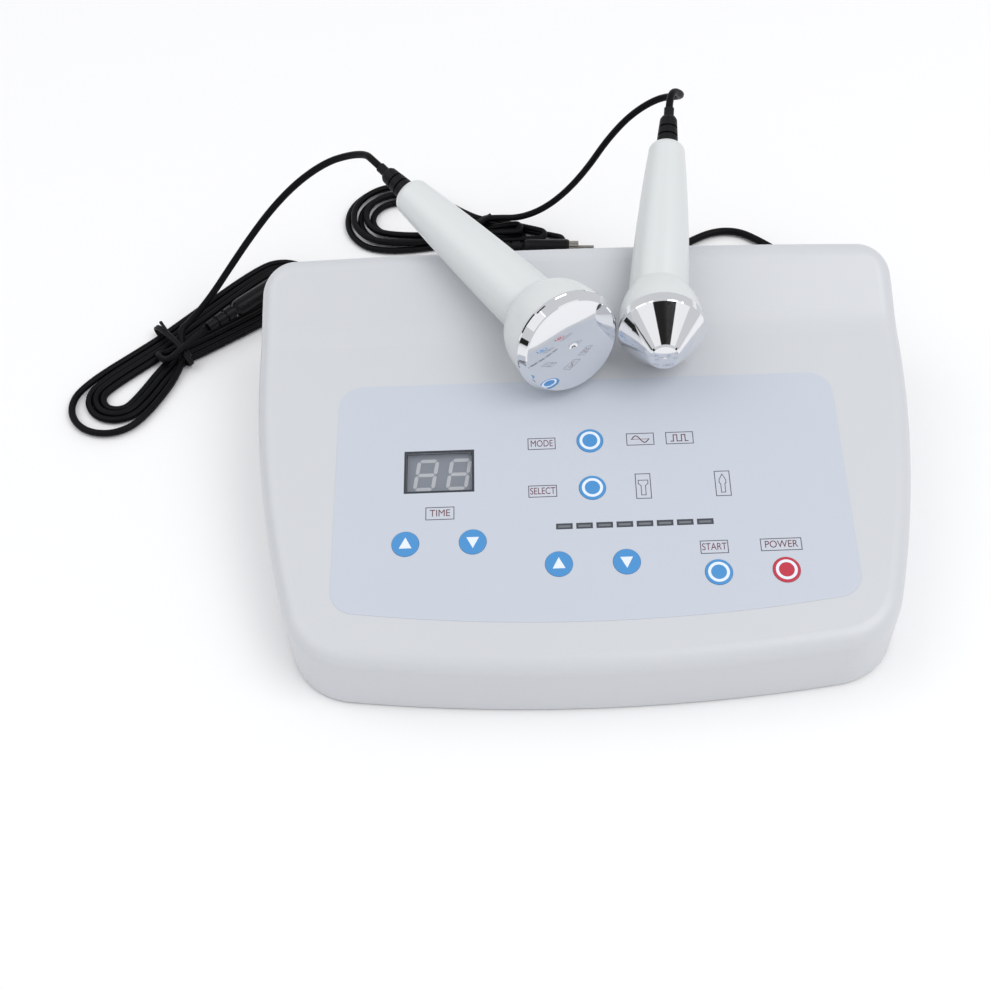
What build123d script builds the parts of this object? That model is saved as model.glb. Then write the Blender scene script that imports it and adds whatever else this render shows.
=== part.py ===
"""Table-top ultrasound therapy device: a wedge-shaped console with a membrane panel, two hand
applicators lying on its rear slope, their probe leads in tied hanks, and a mains lead.

Frame: +X to the right, +Y to the back, +Z up, millimetres, Z = 0 on the table."""

import os
from math import cos, pi, radians, sin, sqrt, tan

from build123d import *

os.makedirs("parts", exist_ok=True)

# ---------------------------------------------------------------- driving dimensions
front_y = -113.5  # middle of the front wall
depth = 181.0
rear_y = front_y + depth
half_width = 131.6  # widest, near the back
side_radius = 430.0
front_bow = 8.9
rear_bow = 2.0
front_corner = 27.0
rear_corner = 14.0
wall = 2.6
rim_z = 1.2  # the housing's lower rim
front_height = 30.0
panel_slope = 10.0
rear_slope = 29.3
slope_change_y = front_y + 144.8
slope_blend = 32.0
top_fillet = 7.0

# The panel's printed face: origin on the mid-plane, in line with the bar of lamps
panel_origin_y = front_y + 56.1
panel_origin_z = front_height + 56.1 * tan(radians(panel_slope))
panel = Plane(
    origin=(0, panel_origin_y, panel_origin_z),
    x_dir=(1, 0, 0),
    z_dir=(0, -sin(radians(panel_slope)), cos(radians(panel_slope))),
)
overlay_sink = 0.35
overlay_proud = 0.15
key_radius = 5.17
key_hole_radius = 5.25
key_top = 0.45
keys = {
    "time_up_key": (-69.8, -5.2),
    "time_down_key": (-44.5, -5.2),
    "intensity_up_key": (-12.5, -15.6),
    "intensity_down_key": (12.8, -15.6),
    "mode_key": (1.5, 36.9),
    "select_key": (1.5, 16.05),
    "start_key": (46.65, -21.2),
    "power_key": (71.85, -21.2),
}
display_centre = (-57.3, 25.5)
display_window = (27.1, 18.6)
display_body = (25.0, 18.2)
display_recess = 2.0  # from under the window to the display's face
lamp_pitch = 7.62
lamp_window = (6.3, 2.5)
lamp_body = (5.6, 2.0)
lamp_count = 8
lamp_centre_x = 16.8
board_top = -10.5  # control board's upper face, below the panel face
board_thickness = 1.6
board_screw_places = [(-84, 34), (-84, -28), (-28, -31), (34, 30), (86, 34), (86, -28)]

# Base plate, its screws and feet
plate_bottom = 3.0
plate_top = 5.5
foot_radius = 6.0
feet_places = [(-100, -82), (100, -82), (-112, 28), (112, 28)]
housing_screw_places = [(-60, -99), (60, -99), (-116, -30), (116, -30), (-114, 48), (114, 48)]
boss_radius = 4.0
screw_radius = 1.5
screw_head_radius = 2.8
screw_head_height = 1.6

# Power board and what stands on it
power_board_z = 11.0
power_board = (112.0, 78.0)
power_board_centre = (40.0, 0.0)
standoff_inset = 5.0

# Small fits shared by several pieces
foot_stem = 2.5
socket_bore = 4.6
fuse_bore = 6.1
bush_bore = 5.1
key_stem = 1.7
key_travel = 0.4
switch_top = -7.0
switch_bore_depth = 1.6
board_hole_x = power_board[0] - 2 * standoff_inset
board_hole_y = power_board[1] - 2 * standoff_inset

transformer_centre = (-52.0, 14.0)
heat_sink_centre = (62.0, 24.0)
coil_places = [(0.0, -22.0), (24.0, -22.0)]
capacitor_sizes = [((50.0, -20.0), 6.5, 17.0), ((66.0, -22.0), 5.0, 14.0), ((80.0, -22.0), 5.0, 14.0)]
boot_neck = 2.6
head_plate = 2.6
crystal_thickness = 1.6
socket_pin_bore = 1.2
socket_barrel = 2.75
nut_depth = 2.4
fuse_cavity = 4.4

# Rear connections
rear_flat_y = rear_y - 1.4
rear_flat = (206.0, 28.0)
rear_flat_centre = (-10.0, 25.0)
socket_places_x = [-92.0, -64.0]
rear_row_z = 25.0
fuse_x = -24.0
mains_x = 20.0

# Applicators: where the head meets its collar, which way head and handle point
# (azimuth from -Y towards +X, elevation of the tip), and their sizes
applicators = {
    "large": dict(
        rim=(-6.4, 5.9, 75.1),
        head=(28.0, 10.0),
        handle=(43.0, -12.5),
        neck=20.0,
        handle_length=81.0,
        neck_radius=13.2,
        waist_radius=11.0,
        tail_radius=8.0,
        collar=[(21.4, 0), (21.3, -6), (20.2, -13), (16.4, -20)],
        collar_bore=[(17.6, 0), (17.6, -6), (10.5, -14)],
        chrome=[(22.0, 0), (22.0, 0.9), (21.7, 1.3), (20.1, 4.0), (19.6, 4.3), (0, 5.6)],
        skirt=17.2,
        crystal=13.5,
    ),
    "small": dict(
        rim=(31.3, 14.0, 73.2),
        head=(-1.0, 4.0),
        handle=(-6.8, -23.2),
        neck=18.0,
        handle_length=68.5,
        neck_radius=12.2,
        waist_radius=10.4,
        tail_radius=7.6,
        collar=[(16.6, 0), (16.4, -6), (14.8, -12.5), (12.9, -17.5)],
        collar_bore=[(13.4, 0), (13.4, -5), (9.6, -13)],
        chrome=[(17.2, 0), (17.2, 4.3), (16.9, 4.8), (6.3, 17.9), (5.5, 18.5), (0, 19.2)],
        skirt=13.0,
        crystal=9.5,
    ),
}
handle_wall = 2.0
handle_tail_round = 4.5
boot_length = 16.5
boot_radius = 4.4
boot_tip = 2.1
probe_cord = 3.1
mains_cord = 3.7
hank_height = 7.0

hank_bottom = 0.9
# Each hank: a round loop at one end, the tie, the other end, and the loop's open middle
hanks = {
    "large_hank": dict(
        tie=((-184.7, 80.1), 14.0), loop=((-209.5, 46.0), 18.0), end=((-140.0, 121.0), 17.0),
        hole=[((-206.0, 48.5), 6.5), ((-191.5, 68.0), 2.5)],
    ),
    "small_hank": dict(
        tie=((-46.0, 152.8), 9.6), loop=((-85.5, 166.5), 26.5), end=((-6.0, 151.8), 7.0),
        hole=[((-86.0, 170.5), 10.0), ((-68.0, 161.5), 3.5)],
    ),
}
plug_radius = 4.1
collar_radius = 3.3
collar_wall = 0.45
pin_radius = 1.15
probe_plugs = {
    "large_plug": ((-167.9, 83.6, 12.1), (0.72, 0.69, 0.0)),
    "small_plug": ((-38.5, 139.4, 5.2), (1.0, -0.05, 0.0)),
}
coil_centre = (98.0, 98.5)
coil_mean_radius = 21.0
mains_plug_start = (66.0, 82.5, 8.2)
bush_length = 26.0


def section(plane):
    """The half-plane through a plane's normal: local x is radial and local y runs along the normal."""
    return Plane(origin=plane.origin, x_dir=plane.x_dir, z_dir=plane.x_dir.cross(plane.z_dir))


def direction(azimuth, elevation):
    """Unit vector from azimuth (degrees, 0 is -Y, towards +X) and elevation."""
    a, e = radians(azimuth), radians(elevation)
    return Vector(sin(a) * cos(e), -cos(a) * cos(e), sin(e))


def crown_middle(edge, top):
    """A point on the arc from a rim's edge to its top on the axis, with the arc's centre on the axis."""
    rise = top[1] - edge[1]
    radius = (edge[0] ** 2 + rise**2) / (2 * rise)
    return (edge[0] / 2, top[1] - radius + sqrt(radius**2 - (edge[0] / 2) ** 2))


# ---------------------------------------------------------------- housing
def side_x(y):
    """Half width of the housing at y: one long arc, widest where the slope changes."""
    return half_width - side_radius + sqrt(side_radius**2 - (y - slope_change_y) ** 2)


def housing_solid(inset, fillet_radius):
    """The housing's outer form, drawn in by inset on the walls and the top."""
    back = rear_y - inset
    front = front_y + inset
    middle_y = (back + front + front_bow) / 2
    rear_x = side_x(back) - inset
    middle_x = side_x(middle_y) - inset
    front_x = side_x(front + front_bow) - inset
    with BuildPart() as form:
        with BuildSketch(Plane.XY.offset(rim_z)) as plan:
            with BuildLine():
                ThreePointArc((-rear_x, back - rear_bow), (0, back), (rear_x, back - rear_bow))
                ThreePointArc((rear_x, back - rear_bow), (middle_x, middle_y), (front_x, front + front_bow))
                ThreePointArc((front_x, front + front_bow), (0, front), (-front_x, front + front_bow))
                ThreePointArc(
                    (-front_x, front + front_bow), (-middle_x, middle_y), (-rear_x, back - rear_bow)
                )
            make_face()
            fillet(plan.vertices().group_by(Axis.Y)[0], front_corner - inset)
            fillet(plan.vertices().group_by(Axis.Y)[-1], rear_corner - inset)
        extrude(amount=90)
        with BuildSketch(Plane.YZ):
            with BuildLine():
                rise = (slope_change_y - front_y) * tan(radians(panel_slope))
                climb = (rear_y - slope_change_y) * tan(radians(rear_slope))
                slope = FilletPolyline(
                    (front_y, front_height - inset),
                    (slope_change_y, front_height + rise - inset),
                    (rear_y, front_height + rise + climb - inset),
                    radius=slope_blend,
                )
                Polyline(slope @ 1, (rear_y, 0), (front_y, 0), slope @ 0)
            make_face()
        extrude(amount=2 * half_width, both=True, mode=Mode.INTERSECT)
        rim = form.edges().filter_by_position(Axis.Z, 20, 100)
        fillet(rim.filter_by(Axis.X, reverse=True).filter_by(Axis.Z, reverse=True), fillet_radius)
    return form.part


outer_form = housing_solid(0, top_fillet)
inner_form = housing_solid(wall, top_fillet - wall)

with BuildPart() as bosses:
    with BuildSketch(Plane.XY.offset(plate_top)):
        with Locations(*housing_screw_places):
            Circle(boss_radius)
    extrude(amount=80)
    with BuildSketch(panel.offset(board_top)):
        with Locations(*board_screw_places):
            Circle(3.0)
    extrude(amount=20)
    add(inner_form, mode=Mode.INTERSECT)

with BuildPart() as overlay_blank:
    with BuildSketch(panel.offset(-overlay_sink)) as overlay_shape:
        with BuildLine():
            Polyline((-97.2, -31.5), (-97.2, 65.3), (99.3, 65.3), (99.3, -31.5))
            ThreePointArc((99.3, -31.5), (1.0, -38.9), (-97.2, -31.5))
        make_face()
        fillet(overlay_shape.vertices(), 9.5)
    extrude(amount=overlay_sink + overlay_proud)

with BuildPart() as upper_housing:
    add(outer_form)
    add(inner_form, mode=Mode.SUBTRACT)
    add(bosses.part)
    with BuildSketch(panel.offset(-overlay_sink)):
        add(overlay_shape.sketch_local)
    extrude(amount=5, mode=Mode.SUBTRACT)
    # Openings behind the keys, the display and the lamps
    with BuildSketch(panel):
        with Locations(*keys.values()):
            Circle(key_hole_radius)
        with Locations(display_centre):
            Rectangle(display_body[0] + 0.6, display_body[1] + 0.6)
        with Locations((lamp_centre_x, 0)):
            with GridLocations(lamp_pitch, 1, lamp_count, 1):
                Rectangle(lamp_body[0] + 0.5, lamp_body[1] + 0.5)
    extrude(amount=-6, mode=Mode.SUBTRACT)
    # Flat at the back, inside and out, for the sockets, the fuse holder and the lead bush
    with BuildSketch(Plane.XZ.offset(-rear_flat_y)) as rear_panel:
        with Locations(rear_flat_centre):
            RectangleRounded(rear_flat[0], rear_flat[1], 4)
    extrude(amount=nut_depth)
    extrude(rear_panel.sketch, amount=-6, mode=Mode.SUBTRACT)
    extrude(rear_panel.sketch.moved(Location((0, -nut_depth, 0))), amount=4, mode=Mode.SUBTRACT)
    with BuildSketch(Plane.XZ.offset(-rear_y)):
        with Locations(*[(x, rear_row_z) for x in socket_places_x]):
            Circle(socket_bore)
        with Locations((fuse_x, rear_row_z)):
            Circle(fuse_bore)
        with Locations((mains_x, rear_row_z)):
            Circle(bush_bore)
    extrude(amount=8, mode=Mode.SUBTRACT)
    # Pilot holes for the screws
    with BuildSketch(Plane.XY.offset(plate_top)):
        with Locations(*housing_screw_places):
            Circle(screw_radius)
    extrude(amount=10, mode=Mode.SUBTRACT)
    with BuildSketch(panel.offset(board_top)):
        with Locations(*board_screw_places):
            Circle(1.0)
    extrude(amount=5, mode=Mode.SUBTRACT)
upper_housing.part.label = "upper_housing"
export_step(upper_housing.part, "parts/upper_housing.step")

with BuildPart() as base_plate:
    add(inner_form)
    with BuildSketch(Plane.XY.offset(plate_top)):
        Rectangle(400, 400)
    extrude(amount=100, mode=Mode.SUBTRACT)
    with BuildSketch(Plane.XY.offset(rim_z - 1)):
        Rectangle(400, 400)
    extrude(amount=plate_bottom - rim_z + 1, mode=Mode.SUBTRACT)
    with BuildSketch(Plane.XY.offset(plate_bottom)):
        with Locations(*housing_screw_places):
            Circle(screw_radius + 0.2)
        with Locations(*feet_places):
            Circle(foot_stem)
    extrude(amount=5, mode=Mode.SUBTRACT)
    # Vent slots
    with BuildSketch(Plane.XY.offset(plate_bottom)):
        with Locations((-20, -50)):
            with GridLocations(7, 1, 9, 1):
                SlotOverall(34, 2.6, rotation=90)
    extrude(amount=5, mode=Mode.SUBTRACT)
    # Standoffs under the power board
    with BuildSketch(Plane.XY.offset(plate_top)):
        with Locations(power_board_centre):
            with GridLocations(board_hole_x, board_hole_y, 2, 2):
                Circle(3.2)
                Circle(1.0, mode=Mode.SUBTRACT)
    extrude(amount=power_board_z - plate_top)
base_plate.part.label = "base_plate"
export_step(base_plate.part, "parts/base_plate.step")

with BuildPart() as rubber_feet:
    with BuildSketch(Plane.XY):
        with Locations(*feet_places):
            Circle(foot_radius)
    extrude(amount=plate_bottom)
    chamfer(rubber_feet.edges().group_by(Axis.Z)[0], 0.6)
    with BuildSketch(Plane.XY.offset(plate_bottom)):
        with Locations(*feet_places):
            Circle(foot_stem)
    extrude(amount=plate_top - plate_bottom)
rubber_feet.part.label = "rubber_feet"
export_step(rubber_feet.part, "parts/rubber_feet.step")

with BuildPart() as housing_screws:
    with BuildSketch(Plane.XY.offset(plate_bottom)):
        with Locations(*housing_screw_places):
            Circle(screw_radius)
    extrude(amount=11)
    with BuildSketch(Plane.XY.offset(plate_bottom)):
        with Locations(*housing_screw_places):
            Circle(screw_head_radius)
    extrude(amount=-screw_head_height)
    fillet(housing_screws.edges().group_by(Axis.Z)[0], 0.5)
    with BuildSketch(Plane.XY.offset(plate_bottom - screw_head_height)):
        with Locations(*housing_screw_places):
            Rectangle(3.0, 0.6)
            Rectangle(0.6, 3.0)
    extrude(amount=0.8, mode=Mode.SUBTRACT)
housing_screws.part.label = "housing_screws"
export_step(housing_screws.part, "parts/housing_screws.step")

# ---------------------------------------------------------------- panel
with BuildPart() as panel_overlay:
    add(overlay_blank.part)
    with BuildSketch(panel.offset(-overlay_sink)):
        with Locations(*keys.values()):
            Circle(key_hole_radius)
        with Locations(display_centre):
            Rectangle(*display_window)
        with Locations((lamp_centre_x, 0)):
            with GridLocations(lamp_pitch, 1, lamp_count, 1):
                Rectangle(*lamp_window)
    extrude(amount=2, mode=Mode.SUBTRACT)
panel_overlay.part.label = "panel_overlay"
export_step(panel_overlay.part, "parts/panel_overlay.step")

with BuildPart() as display_lens:
    with BuildSketch(panel.offset(-overlay_sink)):
        with Locations(display_centre):
            Rectangle(*display_window)
    extrude(amount=overlay_sink)
display_lens.part.label = "display_lens"
export_step(display_lens.part, "parts/display_lens.step")

with BuildPart() as lamp_windows:
    with BuildSketch(panel.offset(-overlay_sink)):
        with Locations((lamp_centre_x, 0)):
            with GridLocations(lamp_pitch, 1, lamp_count, 1):
                Rectangle(*lamp_window)
    extrude(amount=overlay_sink)
lamp_windows.part.label = "lamp_windows"
export_step(lamp_windows.part, "parts/lamp_windows.step")

for key_name, key_place in keys.items():
    with BuildPart() as key:
        with BuildSketch(panel.offset(-overlay_sink)):
            with Locations(key_place):
                Circle(key_radius)
        extrude(amount=overlay_sink + key_top)
        fillet(key.faces().sort_by(Axis.Z)[-1].edges(), 0.3)
        with BuildSketch(panel.offset(-overlay_sink)):
            with Locations(key_place):
                Circle(key_stem)
        extrude(amount=switch_top - switch_bore_depth + key_travel + 0.1 + overlay_sink)
    key.part.label = key_name
    export_step(key.part, f"parts/{key_name}.step")

with BuildPart() as tact_switches:
    with BuildSketch(panel.offset(board_top)):
        with Locations(*keys.values()):
            RectangleRounded(6, 6, 0.5)
    extrude(amount=switch_top - board_top)
    with BuildSketch(panel.offset(switch_top)):
        with Locations(*keys.values()):
            Circle(key_stem + 0.06)
    extrude(amount=-switch_bore_depth, mode=Mode.SUBTRACT)
tact_switches.part.label = "tact_switches"
export_step(tact_switches.part, "parts/tact_switches.step")

with BuildPart() as display_module:
    with BuildSketch(panel.offset(-overlay_sink - display_recess)):
        with Locations(display_centre):
            Rectangle(*display_body)
    extrude(amount=display_recess - 8.05)
    with BuildSketch(panel.offset(board_top)):
        with Locations(display_centre):
            with GridLocations(2.54, 15.24, 9, 2):
                Circle(0.3)
    extrude(amount=-board_top - 8.2)
display_module.part.label = "display_module"
export_step(display_module.part, "parts/display_module.step")

with BuildPart() as bar_lamps:
    with BuildSketch(panel.offset(-overlay_sink - 0.3)):
        with Locations((lamp_centre_x, 0)):
            with GridLocations(lamp_pitch, 1, lamp_count, 1):
                Rectangle(*lamp_body)
    extrude(amount=-6)
    with BuildSketch(panel.offset(board_top)):
        with Locations((lamp_centre_x, 0)):
            with GridLocations(lamp_pitch, 1, lamp_count, 1):
                with GridLocations(2.54, 1, 2, 1):
                    Circle(0.3)
    extrude(amount=-board_top - 6)
bar_lamps.part.label = "bar_lamps"
export_step(bar_lamps.part, "parts/bar_lamps.step")

with BuildPart() as control_board:
    with BuildSketch(panel.offset(board_top)):
        with Locations((1, 4)):
            RectangleRounded(184, 78, 3)
        with Locations(*board_screw_places):
            Circle(1.3, mode=Mode.SUBTRACT)
    extrude(amount=-board_thickness)
control_board.part.label = "control_board"
export_step(control_board.part, "parts/control_board.step")

with BuildPart() as board_screws:
    with BuildSketch(panel.offset(board_top - board_thickness)):
        with Locations(*board_screw_places):
            Circle(2.4)
    extrude(amount=-1.5)
    with BuildSketch(panel.offset(board_top - board_thickness)):
        with Locations(*board_screw_places):
            Circle(1.0)
    extrude(amount=board_thickness + 4)
    with BuildSketch(Plane.XY.offset(power_board_z + board_thickness)):
        with Locations(power_board_centre):
            with GridLocations(board_hole_x, board_hole_y, 2, 2):
                Circle(2.4)
    extrude(amount=1.5)
    with BuildSketch(Plane.XY.offset(plate_top + 1)):
        with Locations(power_board_centre):
            with GridLocations(board_hole_x, board_hole_y, 2, 2):
                Circle(1.0)
    extrude(amount=power_board_z + board_thickness - plate_top - 1)
board_screws.part.label = "board_screws"
export_step(board_screws.part, "parts/board_screws.step")

with BuildPart() as buzzer:
    with BuildSketch(panel.offset(board_top - board_thickness)):
        with Locations((70, 12)):
            Circle(6)
            Circle(1, mode=Mode.SUBTRACT)
    extrude(amount=-7)
buzzer.part.label = "buzzer"
export_step(buzzer.part, "parts/buzzer.step")

with BuildPart() as ribbon_cable:
    with BuildSketch(Plane.YZ.offset(-46)):
        with BuildLine():
            FilletPolyline((-62, 20.0), (-70, 12.0), (-62, 8.6), (-44, 8.6), (-36, 10.4), radius=2.5)
        trace(line_width=0.9)
    extrude(amount=22)
ribbon_cable.part.label = "ribbon_cable"
export_step(ribbon_cable.part, "parts/ribbon_cable.step")

# ---------------------------------------------------------------- power section
with BuildPart() as power_circuit_board:
    with BuildSketch(Plane.XY.offset(power_board_z)):
        with Locations(power_board_centre):
            Rectangle(*power_board)
            with GridLocations(board_hole_x, board_hole_y, 2, 2):
                Circle(1.3, mode=Mode.SUBTRACT)
    extrude(amount=board_thickness)
power_circuit_board.part.label = "power_circuit_board"
export_step(power_circuit_board.part, "parts/power_circuit_board.step")

board_surface = power_board_z + board_thickness

with BuildPart() as transformer_core:
    with BuildSketch(Plane.XY.offset(plate_top)):
        with Locations(transformer_centre):
            Rectangle(48, 20)
    extrude(amount=36)
    with BuildSketch(Plane.XZ.offset(-transformer_centre[1])):
        with Locations((transformer_centre[0], plate_top + 18)):
            with GridLocations(24, 1, 2, 1):
                Rectangle(9, 22)
    extrude(amount=30, both=True, mode=Mode.SUBTRACT)
transformer_core.part.label = "transformer_core"
export_step(transformer_core.part, "parts/transformer_core.step")

with BuildPart() as transformer_winding:
    with BuildSketch(Plane.XY.offset(plate_top + 7.2)):
        with Locations(transformer_centre):
            RectangleRounded(32.6, 40, 4)
            Rectangle(15.2, 20.2, mode=Mode.SUBTRACT)
    extrude(amount=21.6)
transformer_winding.part.label = "transformer_winding"
export_step(transformer_winding.part, "parts/transformer_winding.step")

with BuildPart() as heat_sink:
    with BuildSketch(Plane.XY.offset(board_surface)):
        with Locations(heat_sink_centre):
            Rectangle(44, 3)
            with GridLocations(5, 1, 9, 1):
                with Locations((0, -5)):
                    Rectangle(1.2, 9)
    extrude(amount=22)
heat_sink.part.label = "heat_sink"
export_step(heat_sink.part, "parts/heat_sink.step")

with BuildPart() as power_transistors:
    with BuildSketch(Plane.XZ.offset(-heat_sink_centre[1] - 1.5)):
        with Locations((heat_sink_centre[0], board_surface + 12.5)):
            with GridLocations(22, 1, 2, 1):
                Rectangle(10, 15)
                with Locations((0, 4.5)):
                    Circle(1.8, mode=Mode.SUBTRACT)
    extrude(amount=-4.5)
    with BuildSketch(Plane.XY.offset(board_surface)):
        with Locations((heat_sink_centre[0], heat_sink_centre[1] + 4)):
            with GridLocations(22, 1, 2, 1):
                with GridLocations(2.54, 1, 3, 1):
                    Rectangle(0.8, 0.6)
    extrude(amount=5.5)
power_transistors.part.label = "power_transistors"
export_step(power_transistors.part, "parts/power_transistors.step")

with BuildPart() as output_coils:
    with BuildSketch(Plane.XY.offset(board_surface)):
        with Locations(*coil_places):
            Circle(9)
            Circle(4, mode=Mode.SUBTRACT)
    extrude(amount=8)
    fillet(output_coils.edges().filter_by(GeomType.CIRCLE), 2)
output_coils.part.label = "output_coils"
export_step(output_coils.part, "parts/output_coils.step")

with BuildPart() as capacitors:
    for capacitor_place, capacitor_radius, capacitor_height in capacitor_sizes:
        with BuildSketch(Plane.XY.offset(board_surface)):
            with Locations(capacitor_place):
                Circle(capacitor_radius)
        extrude(amount=capacitor_height)
    fillet(capacitors.edges().group_by(Axis.Z)[-1], 0.6)
capacitors.part.label = "capacitors"
export_step(capacitors.part, "parts/capacitors.step")

# ---------------------------------------------------------------- rear connections
with BuildPart() as probe_sockets:
    with BuildSketch(Plane.XZ.offset(-rear_flat_y)):
        with Locations(*[(x, rear_row_z) for x in socket_places_x]):
            Circle(7)
    extrude(amount=-2)
    with BuildSketch(Plane.XZ.offset(-rear_flat_y)):
        with Locations(*[(x, rear_row_z) for x in socket_places_x]):
            Circle(socket_bore)
    extrude(amount=14)
    with BuildSketch(Plane.XZ.offset(-rear_flat_y)):
        with Locations(*[(x, rear_row_z) for x in socket_places_x]):
            Circle(socket_barrel)
    extrude(amount=-9)
    with BuildSketch(Plane.XZ.offset(-rear_flat_y - 9)):
        with Locations(*[(x, rear_row_z) for x in socket_places_x]):
            Circle(socket_pin_bore)
    extrude(amount=16, mode=Mode.SUBTRACT)
probe_sockets.part.label = "probe_sockets"
export_step(probe_sockets.part, "parts/probe_sockets.step")

with BuildPart() as socket_nuts:
    with BuildSketch(Plane.XZ.offset(-rear_flat_y + nut_depth)):
        with Locations(*[(x, rear_row_z) for x in socket_places_x]):
            RegularPolygon(7, 6)
            Circle(socket_bore, mode=Mode.SUBTRACT)
        with Locations((fuse_x, rear_row_z)):
            RegularPolygon(9, 6)
            Circle(fuse_bore, mode=Mode.SUBTRACT)
        with Locations((mains_x, rear_row_z)):
            RegularPolygon(8, 6)
            Circle(bush_bore, mode=Mode.SUBTRACT)
    extrude(amount=2.5)
socket_nuts.part.label = "rear_nuts"
export_step(socket_nuts.part, "parts/rear_nuts.step")

with BuildPart() as fuse_holder:
    with BuildSketch(Plane.XZ.offset(-rear_flat_y)):
        with Locations((fuse_x, rear_row_z)):
            Circle(8)
    extrude(amount=-1.6)
    with BuildSketch(Plane.XZ.offset(-rear_flat_y)):
        with Locations((fuse_x, rear_row_z)):
            Circle(fuse_bore)
    extrude(amount=30)
    with BuildSketch(Plane.XZ.offset(-rear_flat_y - 1.6)):
        with Locations((fuse_x, rear_row_z)):
            Circle(fuse_cavity)
    extrude(amount=30, mode=Mode.SUBTRACT)
fuse_holder.part.label = "fuse_holder"
export_step(fuse_holder.part, "parts/fuse_holder.step")

with BuildPart() as fuse:
    with BuildSketch(Plane.XZ.offset(-rear_flat_y + 5)):
        with Locations((fuse_x, rear_row_z)):
            Circle(2.6)
    extrude(amount=20)
fuse.part.label = "fuse"
export_step(fuse.part, "parts/fuse.step")

with BuildPart() as fuse_cap:
    with BuildSketch(Plane.XZ.offset(-rear_flat_y - 1.9)):
        with Locations((fuse_x, rear_row_z)):
            Circle(6.5)
    extrude(amount=-5)
    chamfer(fuse_cap.edges().group_by(Axis.Y)[-1], 0.8)
    with BuildSketch(Plane.XZ.offset(-rear_flat_y - 7.5)):
        with Locations((fuse_x, rear_row_z)):
            Rectangle(9, 1.2)
    extrude(amount=1.6, mode=Mode.SUBTRACT)
    with BuildSketch(Plane.XZ.offset(-rear_flat_y - 1.9)):
        with Locations((fuse_x, rear_row_z)):
            Circle(fuse_cavity - 0.08)
    extrude(amount=5)
fuse_cap.part.label = "fuse_cap"
export_step(fuse_cap.part, "parts/fuse_cap.step")

with BuildPart() as mains_bush:
    bush_plane = Plane(origin=(mains_x, rear_flat_y, rear_row_z), x_dir=(1, 0, 0), z_dir=(0, 1, 0))
    bush_section = section(bush_plane)
    with BuildSketch(bush_section):
        with BuildLine():
            Polyline(
                (0, -9), (bush_bore, -9), (bush_bore, 0), (7.5, 0), (7.5, 2), (4.6, 3.5),
                (mains_cord * 0.75, bush_length), (0, bush_length), close=True,
            )
        make_face()
    revolve(axis=Axis(bush_plane.origin, bush_plane.z_dir))
mains_bush.part.label = "mains_bush"
export_step(mains_bush.part, "parts/mains_bush.step")

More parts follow.
